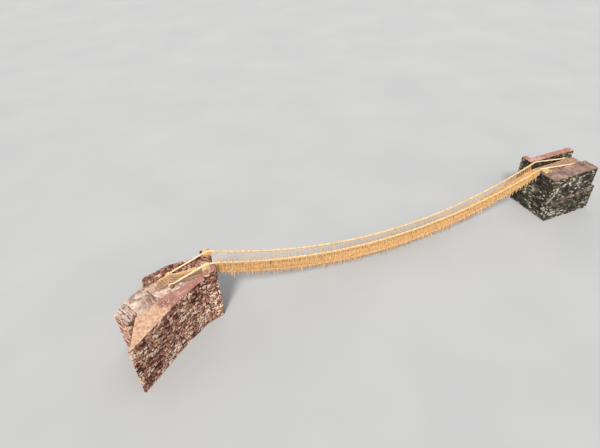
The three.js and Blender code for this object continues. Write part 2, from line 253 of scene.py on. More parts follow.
def is_socket(value):
    return isinstance(value, bpy.types.NodeSocket)


class Finish:
    """A node material in the making."""

    def __init__(self, name, roughness):
        self.material = bpy.data.materials.new(name)
        self.material.use_nodes = True
        self.tree = self.material.node_tree
        self.shader = self.tree.nodes["Principled BSDF"]
        self.feed(self.shader, {"Roughness": roughness, "Specular IOR Level": 0.25})
        self.place = self.node("ShaderNodeTexCoord", "Object")  # on the piece, in metres

    def feed(self, node, inputs):
        """Links each input to a socket, or sets it."""
        for key, value in inputs.items():
            if is_socket(value):
                self.tree.links.new(value, node.inputs[key])
            else:
                node.inputs[key].default_value = value

    def node(self, kind, output, inputs=None, **settings):
        """Adds a node, sets it up, and returns one of its outputs."""
        node = self.tree.nodes.new(kind)
        for key, value in settings.items():
            setattr(node, key, value)
        self.feed(node, inputs or {})
        return node.outputs[output]

    def math(self, operation, a, b, c=0.0):
        return self.node("ShaderNodeMath", "Value", {0: a, 1: b, 2: c}, operation=operation)

    def vectors(self, operation, a, b, output="Vector"):
        return self.node("ShaderNodeVectorMath", output, {0: a, 1: b}, operation=operation)

    def along(self):
        """The distance from mid-span along the bridge, in metres."""
        from_middle = self.vectors("SUBTRACT", self.place, tuple(MID))
        return self.node("ShaderNodeSeparateXYZ", "X", {"Vector": from_middle})

    def stored(self, name, output="Fac"):
        return self.node("ShaderNodeAttribute", output, attribute_name=name)

    def noise(self, scale, detail=4.0, rough=0.6, vector=None):
        inputs = {"Vector": vector or self.place, "Scale": scale, "Detail": detail, "Roughness": rough}
        return self.node("ShaderNodeTexNoise", "Fac", inputs)

    def ramp(self, factor, *stops):
        """Colours at places from 0 to 1."""
        ramp = self.tree.nodes.new("ShaderNodeValToRGB")
        self.feed(ramp, {"Fac": factor})
        while len(ramp.color_ramp.elements) < len(stops):
            ramp.color_ramp.elements.new(0.5)
        for element, (at, color) in zip(ramp.color_ramp.elements, stops):
            element.position = at
            element.color = linear(color)
        return ramp.outputs["Color"]

    def mix(self, factor, a, b, blend="MIX"):
        a, b = (value if is_socket(value) else linear(value) for value in (a, b))
        settings = {"data_type": "RGBA", "blend_type": blend}
        return self.node("ShaderNodeMix", 2, {0: factor, 6: a, 7: b}, **settings)

    def done(self, color, height, distance):
        """Ends the tree with its colour, and a bump whose height is in metres."""
        bump = self.node("ShaderNodeBump", "Normal", {"Height": height, "Distance": distance})
        self.feed(self.shader, {"Base Color": color, "Normal": bump})
        return self.material


# %% [markdown]
# ## Stone, mud and paving
# A dry-stone wall is many tones of one kind, so each stone brings its own number, its tone, and a
# ramp turns that into a colour. Noise weathers it and lets pale stones come in drifts. Lichen is noise
# too, cut hard so that it comes in spots. The packing behind is the same stone in shadow and dust.

# %% Finishes for masonry
DRIFT = 1.6  # how much the tone changes from one part of a wall to the next


def stone_finish(name, weather, lichen, spots, *tones):
    """tones gives the colour of a stone by its tone; spots is where the lichen is cut."""
    finish = Finish(name, 0.92)
    fine = finish.noise(38.0, 6.0, 0.7)
    drift = finish.math("MULTIPLY_ADD", finish.noise(0.8, 3.0, 0.5), DRIFT, -DRIFT / 2)
    color = finish.ramp(finish.math("ADD", finish.stored("tone"), drift), *tones)
    washed = finish.ramp(finish.noise(2.3, 5.0, 0.62), (0.38, 0), (0.72, 1))
    color = finish.mix(washed, color, weather, "MULTIPLY")
    grit = finish.ramp(fine, (0.3, (130, 128, 126)), (0.7, 1))
    color = finish.mix(0.5, color, grit, "MULTIPLY")
    patches = finish.ramp(finish.noise(9.0, 8.0, 0.72), (spots, 0), (spots + 0.05, 1))
    color = finish.mix(patches, color, lichen)
    return finish.done(color, finish.math("ADD", fine, finish.noise(11.0, 5.0)), 0.018)


def packing_finish(name, dark, light, earth=None, far_earth=None):
    """Small stone and dust, dark with painted shade where it shows between the stones. earth, two
    tones, lies on the faces that point up, and far_earth takes its place where the path leaves the
    bridge on the left."""
    finish = Finish(name, 0.97)
    lumps = finish.noise(14.0, 8.0, 0.75)
    color = finish.ramp(lumps, (0.32, dark), (0.72, light))
    if earth:
        trodden_in = finish.ramp(lumps, (0.3, earth[0]), (0.7, earth[1]))
        if far_earth:
            dusty = finish.ramp(lumps, (0.3, far_earth[0]), (0.7, far_earth[1]))
            near = finish.math("ADD", finish.along(), FAR_EARTH)
            near = finish.math("ADD", near, finish.noise(3.0))
            trodden_in = finish.mix(finish.ramp(near, (0.4, 0), (1.0, 1)), dusty, trodden_in)
        normal = finish.node("ShaderNodeNewGeometry", "True Normal")
        upward = finish.node("ShaderNodeSeparateXYZ", "Z", {"Vector": normal})
        color = finish.mix(finish.ramp(upward, (0.6, 0), (0.8, 1)), color, trodden_in)
    return finish.done(color, lumps, 0.03)


def mud_finish(name, dark, middle, light, drying=False):
    """Red mud, washed by rain, with dust in the hollows. Beyond a line it can be dry and tan."""
    finish = Finish(name, 0.95)
    broad, fine = finish.noise(1.4, 6.0), finish.noise(26.0, 8.0, 0.72)
    color = finish.ramp(broad, (0.3, dark), (0.52, middle), (0.74, light))
    if drying:
        past = finish.vectors("SUBTRACT", finish.place, DRY_LINE)
        past = finish.vectors("DOT_PRODUCT", past, DRY_TOWARDS, "Value")
        blots = finish.noise(4.5, 5.0, 0.7)
        ragged = finish.math("ADD", past, finish.math("MULTIPLY", broad, 1.4))
        ragged = finish.math("ADD", ragged, finish.math("MULTIPLY", blots, 2.4))
        dry = finish.ramp(blots, (0.36, (184, 138, 110)), (0.6, (232, 192, 156)))
        color = finish.mix(finish.ramp(ragged, (0.62, 0), (1.0, 1)), color, dry)
    dust = finish.ramp(fine, (0.34, (172, 160, 154)), (0.66, 1))
    return finish.done(finish.mix(0.55, color, dust, "MULTIPLY"), fine, 0.02)


purple_tones = (0.0, (88, 53, 49)), (0.2, (142, 97, 83)), (0.42, (210, 156, 127))
purple_tones += (0.6, (160, 114, 102)), (0.76, (236, 195, 166)), (0.94, (255, 234, 207))
purple_stone = stone_finish("purple_stone", (204, 184, 178), (234, 214, 194), 0.68, *purple_tones)
# Dark green-grey stone for the right abutment; its darker tones are partly painted shade.
green_shade_tones = (0.0, (46, 42, 36)), (0.35, (70, 63, 53)), (0.62, (102, 94, 79))
green_shade_tones += (0.84, (144, 136, 118)), (0.98, (212, 207, 189))
green_stone = stone_finish("green_stone", (186, 188, 176), (190, 192, 178), 0.62, *green_shade_tones)
paving_tones = (0.0, (176, 146, 134)), (0.5, (218, 188, 172)), (0.9, (244, 226, 214))
paving_stone = stone_finish("paving", (216, 202, 194), (240, 232, 220), 0.66, *paving_tones)
slab_tones = (0.0, (164, 136, 124)), (0.5, (204, 177, 163)), (0.9, (236, 219, 205))
slab_stone = stone_finish("slabs", (206, 192, 184), (236, 226, 214), 0.64, *slab_tones)
ledge_tones = (0.0, (92, 74, 68)), (0.5, (138, 114, 104)), (0.9, (186, 162, 150))
ledge_stone = stone_finish("ledge_stone", (196, 180, 172), (206, 196, 184), 0.66, *ledge_tones)

FAR_EARTH = 16.6
# Packing tones: dust, and painted shade where the packing shows between the stones.
purple_dark = (28, 20, 20), (78, 56, 52)
mauve_earth, tan_earth = ((98, 72, 66), (156, 122, 110)), ((186, 152, 130), (232, 202, 178))
purple_packing = packing_finish("purple_packing", *purple_dark)
left_path_packing = packing_finish("left_path_packing", *purple_dark, mauve_earth, tan_earth)
# Packing tones: dust, and painted shade where the packing shows between the stones.
green_dark = (18, 19, 18), (48, 49, 44)
brown_earth = (100, 82, 74), (170, 146, 130)
green_packing = packing_finish("green_packing", *green_dark)
right_path_packing = packing_finish("right_path_packing", *green_dark, brown_earth)
paving_packing = packing_finish("paving_packing", (84, 62, 56), (150, 120, 106))

DRY_LINE, DRY_TOWARDS = tuple(spot(-19.2, -2.9, 0)), (-0.572, -0.82, 0)
left_mud = mud_finish("red_mud", (142, 96, 86), (178, 127, 112), (218, 172, 150), drying=True)
pink_mud = mud_finish("pink_mud", (150, 102, 92), (182, 130, 116), (228, 186, 168))
brown_mud = mud_finish("brown_mud", (106, 80, 72), (148, 118, 104), (194, 163, 144))
print(len(bpy.data.materials), "materials so far")

# %% [markdown]
# ## How the walls are built
# The walls are rubble laid dry in rough courses. One box per stone, scaled at random, leaves gaps
# that nobody would build. Each face is divided up like cracked mud instead: seeds are dropped in loose
# rows, and a stone is all that lies nearer to its seed than to any other. Cutting that cell out of a
# square, one neighbour at a time, gives stones that fit each other and the outline of the wall.

# %% Cells for one face of rubble
SWAY = 0.26  # how far a seed leaves its row; this and the next two are shares of a stone's height
REACH = 2.5  # half the square that a cell is cut out of
SHORT_EDGE = 0.17  # a shorter edge is left out
NEIGHBOURS = 14


def pairs(ring):
    """Each corner of an outline with the next one."""
    return zip(ring, ring[1:] + ring[:1])


def clip(outline, point, away):
    """What is left of a convex outline when all beyond a line is cut off."""
    kept = []
    for a, b in pairs(outline):
        beyond_a, beyond_b = (a - point).dot(away), (b - point).dot(away)
        if beyond_a <= 0:
            kept.append(a)
        if beyond_a * beyond_b < 0:
            kept.append(a.lerp(b, beyond_a / (beyond_a - beyond_b)))
    return kept


def area(outline):
    return sum(a.x * b.y - a.y * b.x for a, b in pairs(outline)) / 2


def rubble(outline, length, height, joint, draw):
    """The stones of one face, as outlines inside a convex anticlockwise outline."""
    squeeze = height / length  # makes round cells, which come out long and low again below
    reach = REACH * height
    fence = [Vector((p.x * squeeze, p.y)) for p in outline]
    low, high = (Vector((end(p.x for p in outline), end(p.y for p in outline))) for end in (min, max))
    seeds = []
    course = low.y - height * draw.uniform(0.1, 0.5)
    while course < high.y + height:
        along = low.x - length * draw.uniform(0.2, 1.2)
        while along < high.x + length:
            seeds.append(Vector((along * squeeze, course + height * draw.uniform(-SWAY, SWAY))))
            along += length * draw.uniform(0.6, 1.45)
        course += height * draw.uniform(0.8, 1.2)
    tree = kdtree.KDTree(len(seeds))
    for i, seed in enumerate(seeds):
        tree.insert((*seed, 0), i)
    tree.balance()
    cells = []
    for i, seed in enumerate(seeds):
        corners = (-reach, -reach), (reach, -reach), (reach, reach), (-reach, reach)
        cell = [seed + Vector(corner) for corner in corners]
        for _, other, _ in tree.find_n((*seed, 0), NEIGHBOURS):
            if other != i:
                away = seeds[other] - seed
                cell = clip(cell, (seed + seeds[other]) / 2 - away.normalized() * joint / 2, away)
        for a, b in pairs(fence):
            cell = clip(cell, a, Vector((b.y - a.y, a.x - b.x)))
        cell = [p for p, q in pairs(cell) if (p - q).length > SHORT_EDGE * height]
        if len(cell) > 2 and area(cell) > 0.1 * height * height:
            cells.append([Vector((p.x / squeeze, p.y)) for p in cell])
    return cells


# %% [markdown]
# A stone starts as its flat cell, standing a little out of the wall and slightly tilted. Rounding its
# corners, giving it thickness, insetting its face and raising the middle of that face turns the cell
# into a rough block. Each of these is one operator on all the stones of a wall together.

# %% From cells to stones
JOINT = 0.022
CORNER_PERCENT = 12
THICK = 0.1


def face(a, b, low, high):
    """An upright face from a to b in plan, with its outside on the right. low and high are single
    heights, or a height at a and one at b."""
    low = low if isinstance(low, tuple) else (low, low)
    high = high if isinstance(high, tuple) else (high, high)
    run = Vector(b) - Vector(a)
    outline = [(0, low[0]), (run.length, low[1]), (run.length, high[1]), (0, high[0])]
    return spot(*a, 0), Vector((*run.normalized(), 0)), UP, [Vector(p) for p in outline]


def faces(line, low, high):
    return [face(a, b, low, high) for a, b in zip(line, line[1:])]


def top(outline, z, along=Vector((1, 0))):
    """A level face, given by its outline in plan. Its stones lie along a direction."""
    beside = Vector((-along.y, along.x))
    outline = [Vector((Vector(p).dot(along), Vector(p).dot(beside))) for p in outline]
    if area(outline) < 0:
        outline.reverse()
    return spot(0, 0, z), Vector((*along, 0)), Vector((*beside, 0)), outline


def masonry(
    name, finish, slot, patches, size, proud, seed,
    inset=0.02, tilt=0.08, thick=THICK, joint=JOINT, tone=(0, 1),
):
    """Stones over flat patches. size is their length and height; proud is how far out they stand."""
    draw = random.Random(seed)
    points, cells, tones = [], [], []
    for origin, across, upward, outline in patches:
        out = across.cross(upward)
        for cell in rubble(outline, *size, joint, draw):
            middle = sum(cell, Vector((0, 0))) / len(cell)
            lift = draw.uniform(*proud)
            lean = jitter(draw, tilt, tilt)
            cells.append(range(len(points), len(points) + len(cell)))
            for p in cell:
                rise = max(lift + (p - middle).dot(lean), proud[0] / 2)
                points.append(origin + across * p.x + upward * p.y + out * rise)
            tones.append(draw.uniform(*tone))
    obj = mesh_piece(name, points, cells, tones)
    pick(obj)
    with editing():
        bpy.ops.mesh.bevel(affect="VERTICES", offset_type="PERCENT", offset_pct=CORNER_PERCENT)
    harden(obj, "SOLIDIFY", thickness=thick, offset=-1)
    with editing("DESELECT"):
        bpy.ops.mesh.select_mode(type="FACE")
    for polygon in obj.data.polygons[: len(cells)]:
        polygon.select = True
    with editing(select=None):
        bpy.ops.mesh.inset(thickness=inset, depth=inset * 0.5, use_individual=True)
        bpy.ops.mesh.poke(offset=inset * 0.35)
    bpy.ops.object.shade_smooth_by_angle(angle=radians(35))
    print(name, "has", len(cells), "stones")
    keep(obj, finish, slot)


# %% [markdown]
# ## The left abutment
# A walled causeway of purple rubble bends towards the near side and ends in a stair. Its faces are
# listed in plan, with the outside on the right of the way from one corner to the next. The wall beside
# the path is laid with the same stone, and so are the pillars that lift the handrails.

# %% Corners of the left abutment
LEFT_WALL, LEFT_FAR_TOP, PILLAR_TOP = 0.33, 0.42, 0.85
LANDING, RISER, TREAD = -0.19, 0.17, 0.42
STEPS = 2
SILL_UNDER, SILL_END = -0.21, 0.785
GATE = 0.47  # half the way between the pillars, and between the walls of the right block

front_near, front_far = (-FACE, -0.95), (-FACE, 1.10)
gate_near, gate_far = (-FACE, -GATE), (-FACE, GATE)
near_gate_back, far_gate_back = (-14.95, -GATE), (-14.65, GATE)
near_pillar_back = (-14.95, -1.217)
near_outer = [(-20.18, -5.08), (-19.24, -4.34), (-17.37, -2.75), (-15.4, -1.35), near_pillar_back]
near_inner = [near_gate_back, (-15.3, -0.76), (-16.44, -1.26), (-17.82, -1.67)]
landing_inner = [near_inner[-1], (-18.63, -2.17), (-19.49, -2.67)]
far_outer = [(-14.65, 1.10), (-17.0, 1.12), (-18.62, 0.56)]
far_inner = [(-18.75, 0.12), (-17.0, 0.69), (-14.65, 0.76)]
stair_near, stair_far = Vector((-19.44, -1.77)), Vector((-20.07, -0.44))
along_stair = (stair_far - stair_near).normalized()
down_stair = Vector((-along_stair.y, along_stair.x))


def on_stair(end, distance):
    return tuple(end + down_stair * distance)


left_patches = [
    face(front_near, front_far, FOOT, SILL_UNDER),
    face(front_near, (-FACE, -SILL_END), SILL_UNDER, 0.0),
    face((-FACE, SILL_END), front_far, SILL_UNDER, 0.0),
    face(front_near, gate_near, 0.0, PILLAR_TOP),
    face(gate_far, front_far, 0.0, PILLAR_TOP),
    face(front_far, far_outer[0], FOOT, PILLAR_TOP),
    *faces(far_outer, FOOT, LEFT_FAR_TOP),
    face(far_outer[-1], tuple(stair_far), FOOT, LANDING),
    face(tuple(stair_near), landing_inner[-1], FOOT, LANDING),
    *faces([landing_inner[-1], *near_outer], FOOT, LEFT_WALL),
    face(near_pillar_back, front_near, FOOT, PILLAR_TOP),
]
for step in range(STEPS):
    tread_top = LANDING - (step + 1) * RISER
    far_top, far_foot = (on_stair(stair_far, n * TREAD) for n in (step, step + 1))
    near_top, near_foot = (on_stair(stair_near, n * TREAD) for n in (step, step + 1))
    left_patches += [
        face(near_foot, near_top, FOOT, tread_top),
        face(far_top, far_foot, FOOT, tread_top),
        face(far_top, near_top, tread_top, tread_top + RISER),
    ]
left_patches.append(face(far_foot, near_foot, FOOT, tread_top))
left_inner_patches = [
    face(near_gate_back, near_pillar_back, 0.40, PILLAR_TOP),
    face(gate_near, near_gate_back, PATH_TOP, PILLAR_TOP),
    face(far_inner[-1], far_gate_back, PATH_TOP, PILLAR_TOP),
    face(far_outer[0], far_inner[-1], LEFT_FAR_TOP, PILLAR_TOP),
    face(far_gate_back, gate_far, PATH_TOP, PILLAR_TOP),
    *faces(far_inner, PATH_TOP, LEFT_FAR_TOP),
    face(far_outer[-1], far_inner[0], LANDING, LEFT_FAR_TOP),
    *faces(near_inner, PATH_TOP, LEFT_WALL),
    *faces(landing_inner, LANDING, LEFT_WALL),
    face(far_inner[0], landing_inner[0], LANDING, PATH_TOP),
]
left_tops = [
    top([gate_far, front_far, far_outer[0], far_gate_back], PILLAR_TOP),
    top([far_inner[2], *far_outer[:2], far_inner[1]], LEFT_FAR_TOP),
    top([far_inner[1], *far_outer[1:], far_inner[0]], LEFT_FAR_TOP),
]

# %% Left masonry
purple = purple_stone, "purple_stone"
masonry("left_wall_stones", *purple, left_patches, (0.3, 0.12), (0.012, 0.046), 11, joint=0.028)
masonry(
    "left_path_wall_stones", *purple, left_inner_patches, (0.28, 0.14), (0.008, 0.03), 12, inset=0.014
)
masonry("left_coping_stones", *purple, left_tops, (0.3, 0.2), (0.01, 0.03), 13, tone=(0, 0.8))

# %% [markdown]
# ## The right abutment
# It is squarer, and built of dark green-grey stone with pale lichen; part of that dark is painted
# shade. Its near front corner is rounded. A ledge along the foot of its near face rises towards the
# back. The end of the path is where this part stops, so the stones there lie almost flush, for the
# next piece to meet.

# %% Right masonry
RIGHT_WALL, RIGHT_FAR = 0.25, 0.62
END = 18.9
NEAR, FAR, STUB = -1.95, 1.25, 1.75  # outer faces; the stub is where the far wall turns outwards
STUB_BACK, BLOCK_BACK = 14.5, 14.75
PATH_NEAR, PATH_FAR = -0.64, 0.72
LEDGE_FRONT, LEDGE_BACK, LEDGE_OUT = -2.35, -1.35, 0.3
LEDGE_NEAR = NEAR - LEDGE_OUT
ledge_slope = (LEDGE_BACK - LEDGE_FRONT) / (END - FACE)
ledge_mid = LEDGE_FRONT + ledge_slope * 0.45
corner = [(FACE, -1.5), (14.11, -1.725), (14.275, -1.89), (STUB_BACK, NEAR)]

right_patches = [
    face((FACE, NEAR), corner[-1], (LEDGE_FRONT, ledge_mid), PATH_TOP),
    face(corner[-1], (END, NEAR), (ledge_mid, LEDGE_BACK), RIGHT_WALL),
    *faces(corner, PATH_TOP, RIGHT_WALL),
    top([(FACE, NEAR), (14.24, NEAR), (FACE, -1.76)], PATH_TOP),
    face((FACE, LEDGE_NEAR), (END, LEDGE_NEAR), FOOT, (LEDGE_FRONT, LEDGE_BACK)),
    face((FACE, NEAR), (FACE, LEDGE_NEAR), FOOT, LEDGE_FRONT),
    *faces([(END, FAR), (STUB_BACK, FAR), (STUB_BACK, STUB), (FACE, STUB)], FOOT, RIGHT_FAR),
    face((FACE, STUB), (FACE, NEAR), FOOT, SILL_UNDER),
    face((FACE, STUB), (FACE, SILL_END), SILL_UNDER, 0.0),
    face((FACE, STUB), (FACE, GATE), 0.0, RIGHT_FAR),
    face((FACE, -SILL_END), (FACE, NEAR), SILL_UNDER, PATH_TOP),
    face((FACE, -GATE), corner[0], 0.0, RIGHT_WALL),
]
slope = Vector((1, 0, ledge_slope)).normalized()
ledge_length = (END - FACE) / slope.x
ledge_corners = (0, 0), (ledge_length, 0), (ledge_length, LEDGE_OUT), (0, LEDGE_OUT)
ledge_outline = [Vector(p) for p in ledge_corners]
ledge_patch = spot(FACE, LEDGE_NEAR, LEDGE_FRONT), slope, SIDEWAYS, ledge_outline
far_line = [(FACE, GATE), (STUB_BACK, GATE), (STUB_BACK, PATH_FAR), (END, PATH_FAR)]
right_inner_patches = [
    face((BLOCK_BACK, -GATE), (FACE, -GATE), PATH_TOP, RIGHT_WALL),
    face((BLOCK_BACK, PATH_NEAR), (BLOCK_BACK, -GATE), PATH_TOP, RIGHT_WALL),
    face((END, PATH_NEAR), (BLOCK_BACK, PATH_NEAR), PATH_TOP, RIGHT_WALL),
    *faces(far_line, PATH_TOP, RIGHT_FAR),
]
right_end_patches = [
    face((END, NEAR), (END, PATH_NEAR), FOOT, RIGHT_WALL),
    face((END, PATH_NEAR), (END, PATH_FAR), FOOT, PATH_TOP),
    face((END, PATH_FAR), (END, FAR), FOOT, RIGHT_FAR),
    face((END, LEDGE_NEAR), (END, NEAR), FOOT, LEDGE_BACK),
]
green = green_stone, "green_stone"
ledge = ledge_stone, "green_stone"
masonry("right_wall_stones", *green, right_patches, (0.29, 0.135), (0.01, 0.036), 21)
masonry("right_ledge_stones", *ledge, [ledge_patch], (0.34, 0.16), (0.008, 0.02), 24, tilt=0.02)
masonry(
    "right_path_wall_stones", *green, right_inner_patches, (0.28, 0.13), (0.006, 0.024), 22, inset=0.012
)
masonry("right_end_stones", *green, right_end_patches, (0.36, 0.2), (0.004, 0.012), 23, tilt=0.02)

# %% [markdown]
# ## Paving
# Flat stones lie along both paths, low enough for the ropes to run over them. The landing and the two
# treads of the stair are broader slabs.

# %% Paving stones
PAVED_FROM, PAVED_HALF = 14.28, 0.46  # just behind the sills, and half the width in the gateways
left_path = [(-18.74, 0.1), (-17.82, -1.65), (-16.44, -1.24), (-15.3, -0.74), (-14.95, -0.45)]
left_path += [(-14.66, 0.74), (-17.0, 0.67)]
left_gateway = (-PAVED_FROM, -PAVED_HALF), (-PAVED_FROM, PAVED_HALF)
left_paving = [
    top([*left_gateway, (-14.67, PAVED_HALF), (-14.94, -PAVED_HALF)], PATH_TOP),
    top(left_path, PATH_TOP),
]
head, stair_top = far_inner[0], [tuple(stair_near), tuple(stair_far)]
landing = [
    top([head, landing_inner[0], (-18.63, -2.15), (-19.48, -2.64), stair_top[0]], LANDING),
    top([far_outer[-1], head, *stair_top], LANDING),
]
treads = []
for step in range(STEPS):
    front, back = step * TREAD + 0.03, (step + 1) * TREAD
    corners = (stair_near, front), (stair_far, front), (stair_far, back), (stair_near, back)
    outline = [on_stair(end, distance) for end, distance in corners]
    treads.append(top(outline, LANDING - (step + 1) * RISER, along_stair))
right_gateway = (PAVED_FROM, -PAVED_HALF), (BLOCK_BACK, -PAVED_HALF)
right_gateway += (BLOCK_BACK, PAVED_HALF), (PAVED_FROM, PAVED_HALF)
right_paving = [
    top(right_gateway, PATH_TOP),
    top([(14.76, -0.62), (END, -0.62), (END, 0.59), (14.76, 0.59)], PATH_TOP),
]
LOW = (0.006, 0.017)
COBBLE = {"inset": 0.012, "tilt": 0.02, "thick": 0.04}
SLAB = {"inset": 0.014, "tilt": 0.012, "thick": 0.05}
cobble, slab = (paving_stone, "paving"), (slab_stone, "paving")
masonry("left_path_cobbles", *cobble, left_paving, (0.24, 0.19), LOW, 31, **COBBLE)
masonry("left_landing_slabs", *slab, landing, (0.46, 0.36), LOW, 32, **SLAB)
masonry("left_tread_slabs", *slab, treads, (0.85, 0.2), LOW, 34, tone=(0.4, 1), **SLAB)
masonry("right_path_cobbles", *cobble, right_paving, (0.26, 0.2), LOW, 33, **COBBLE)

# %% Packing behind the stones
for finish, nodes in (
    (left_path_packing, ["left_abutment"]),
    (purple_packing, ["left_near_wall", "left_far_wall", "left_near_pillar", "left_far_pillar"]),
    (right_path_packing, ["right_abutment"]),
    (green_packing, ["right_near_wall", "right_far_wall", "right_footing"]),
    (paving_packing, ["left_step_1", "left_step_2"]),
):
    for node in nodes:
        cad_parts[node].data.materials.clear()
        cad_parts[node].data.materials.append(finish)
    print(", ".join(nodes), "takes" if len(nodes) == 1 else "take", finish.name)

# %% [markdown]
# ## Finishes for grass and wood
# Grass rope is hundreds of dry stalks laid side by side, so its texture has to run along the strand.
# The strands below carry that direction with them as three numbers, the distance along and the place
# around, and the noise is stretched along the first. Each length of rope varies a little in tone too.

# %% Finishes for straw, rope and timber
TRODDEN = 14.5
MUD_DARK, MUD_LIGHT, MUD_SHARE = (104, 78, 70), (196, 162, 142), 0.78


def trodden(finish, color, patches, ends):
    """Mud on ropes that are walked over, past mid-span by -1 or 1 times TRODDEN."""
    along = finish.along()
    mud = finish.ramp(finish.noise(21.0, 6.0, 0.7), (0.36, MUD_DARK), (0.66, MUD_LIGHT))
    for end in ends:
        past = finish.math("SUBTRACT", finish.math("MULTIPLY", along, end), TRODDEN)
        past = finish.math("ADD", past, finish.math("MULTIPLY", patches, 0.8))
        color = finish.mix(finish.ramp(past, (0.1, 0), (0.9, MUD_SHARE)), color, mud)
    return color


def fibre_finish(name, dark, middle, light, along=9.0, across=420.0, depth=0.004, muddy_ends=()):
    """Fibres that run along the stored grain."""
    finish = Finish(name, 0.85)
    stretch = {"Vector": finish.stored("grain", "Vector"), "Scale": (along, across, across)}
    stalks = finish.noise(1.0, 3.0, vector=finish.node("ShaderNodeMapping", "Vector", stretch))
    patches = finish.noise(3.2)
    color = finish.ramp(stalks, (0.28, dark), (0.5, middle), (0.72, light))
    dust = finish.ramp(patches, (0.3, (222, 200, 172)), (0.62, 1))
    color = finish.mix(0.7, color, dust, "MULTIPLY")
    return finish.done(trodden(finish, color, patches, muddy_ends), stalks, depth)


def straw_finish(name, *stops):
    """Loose stalks and sticks, each of one tone."""
    finish = Finish(name, 0.8)
    specks = finish.noise(60.0, 3.0)
    dust = finish.ramp(specks, (0.3, (205, 188, 165)), (0.7, 1))
    color = finish.mix(0.4, finish.ramp(finish.stored("tone"), *stops), dust, "MULTIPLY")
    return finish.done(color, specks, 0.002)


rope_grass = fibre_finish("rope_grass", (202, 172, 130), (243, 219, 178), (254, 243, 214))
floor_tones = (176, 132, 82), (222, 180, 122), (246, 214, 162)
floor_grass = fibre_finish("floor_grass", *floor_tones, muddy_ends=(-1, 1))
far_floor_grass = fibre_finish("far_floor_grass", *floor_tones, muddy_ends=(1,))
cord_grass = fibre_finish("cord_grass", (194, 150, 98), (236, 198, 142), (252, 226, 178), 14)
timber = fibre_finish("timber", (88, 64, 42), (140, 108, 76), (170, 138, 102), 2.5, 60.0, 0.01)
fringe_tones = (0.0, (196, 140, 80)), (0.5, (232, 182, 118)), (1.0, (250, 220, 166))
deck_tones = (0.0, (216, 160, 100)), (0.4, (246, 196, 132))
deck_tones += (0.75, (252, 212, 152)), (1.0, (254, 226, 178))
stick_tones = (0.0, (140, 100, 62)), (0.5, (196, 146, 94)), (1.0, (228, 182, 128))
pad_tones = (0.0, (218, 172, 106)), (0.5, (248, 214, 150)), (1.0, (255, 238, 194))
pale_tones = (0.0, (214, 184, 128)), (0.5, (246, 226, 176)), (1.0, (255, 246, 214))
fringe_straw = straw_finish("fringe_straw", *fringe_tones)
deck_straw = straw_finish("deck_straw", *deck_tones)
stick_wood = straw_finish("stick_wood", *stick_tones)
pad_straw = straw_finish("pad_straw", *pad_tones)
pale_pad_straw = straw_finish("pale_pad_straw", *pale_tones)
print(len(bpy.data.materials), "materials in all")

# %% [markdown]
# ## Rope as strands
# A curve with a round bevel is the quickest way to a long bent rod. Each strand of a rope is such a rod
# that winds round the rope's middle line, and three of them touch when each is 0.464 of the rope's
# radius. After the conversion to a mesh its points come ring by ring, so the grain can be counted out.

# %% Helpers for rods, ropes and cord
STRAND, STRAND_OUT = 0.464, 0.536  # radius of a strand and of its way round, for a rope of radius 1
STRAND_TWIST, CORD_TWIST = 9.0, 30.0  # of the fibres, in radians a metre


def rods(name, routes, radius, sides, twist=CORD_TWIST):
    """Closed rods along routes, as one piece. radius is one number, or a list for each route."""
    sizes = radius if isinstance(radius, list) else [[radius] * len(route) for route in routes]
    curve = bpy.data.curves.new(name, "CURVE")
    curve.dimensions = "3D"
    curve.bevel_depth = 1.0
    curve.bevel_resolution = sides // 2 - 2
    grain = []
    for n, (route, widths) in enumerate(zip(routes, sizes)):
        line = curve.splines.new("POLY")
        line.points.add(len(route) - 1)
        steps = [0.0] + [(b - a).length for a, b in zip(route, route[1:])]
        for point, place, width, along in zip(line.points, route, widths, np.cumsum(steps)):
            point.co = (*place, 1)
            point.radius = width
            for side in range(sides):
                turn = side * 2 * pi / sides + along * twist
                grain.append((along + 7.3 * n, width * cos(turn) + n, width * sin(turn)))
    obj = bpy.data.objects.new(name, curve)
    bpy.context.scene.collection.objects.link(obj)
    pick(obj)
    bpy.ops.object.convert(target="MESH")
    obj = named(name)
    store(obj, "grain", "FLOAT_VECTOR", "POINT", grain)
    with editing():
        bpy.ops.mesh.fill_holes(sides=0)
        bpy.ops.mesh.normals_make_consistent(inside=False)
    return obj


def resample(route, gap):
    """The same way in equal steps of about that gap."""
    points = np.array([tuple(p) for p in route])
    along = np.concatenate(([0.0], np.cumsum(np.linalg.norm(np.diff(points, axis=0), axis=1))))
    wanted = np.linspace(0, along[-1], max(2, round(along[-1] / gap) + 1))
    return [Vector(p) for p in zip(*(np.interp(wanted, along, column) for column in points.T))]


def rounded(route):
    """A way with its corners cut, for a rope that doesn't bend sharply."""
    for _ in range(2):
        cut = [p for a, b in zip(route, route[1:]) for p in (a.lerp(b, 0.25), a.lerp(b, 0.75))]
        route = [route[0], *cut, route[-1]]
    return route


def sides_of(route):
    """The direction of a way at each point, with a level and an upright direction across it."""
    frames = []
    for i in range(len(route)):
        ahead = (route[min(i + 1, len(route) - 1)] - route[max(i - 1, 0)]).normalized()
        level = Vector((-ahead.y, ahead.x, 0))
        if level.length < 0.1:
            level = SIDEWAYS.copy()
        level.normalize()
        frames.append((ahead, level, ahead.cross(level)))
    return frames


def wind(route, radius, pitch, start=0.0, per_turn=10):
    """A way that winds round another one."""
    middle = resample(route, pitch / per_turn)
    gap = (middle[1] - middle[0]).length
    wound = []
    for i, (point, (_, level, upright)) in enumerate(zip(middle, sides_of(middle))):
        turn = 2 * pi * (start + i * gap / pitch)
        wound.append(point + radius * (cos(turn) * level + sin(turn) * upright))
    return wound


# %% [markdown]
# ## Straw
# One stalk is modelled once: a three-sided rod, bent, with a tip that closes to a point. Everything
# loose on this bridge is that stalk again, turned, scaled and given its own tone, and joined into
# one piece with its neighbours.


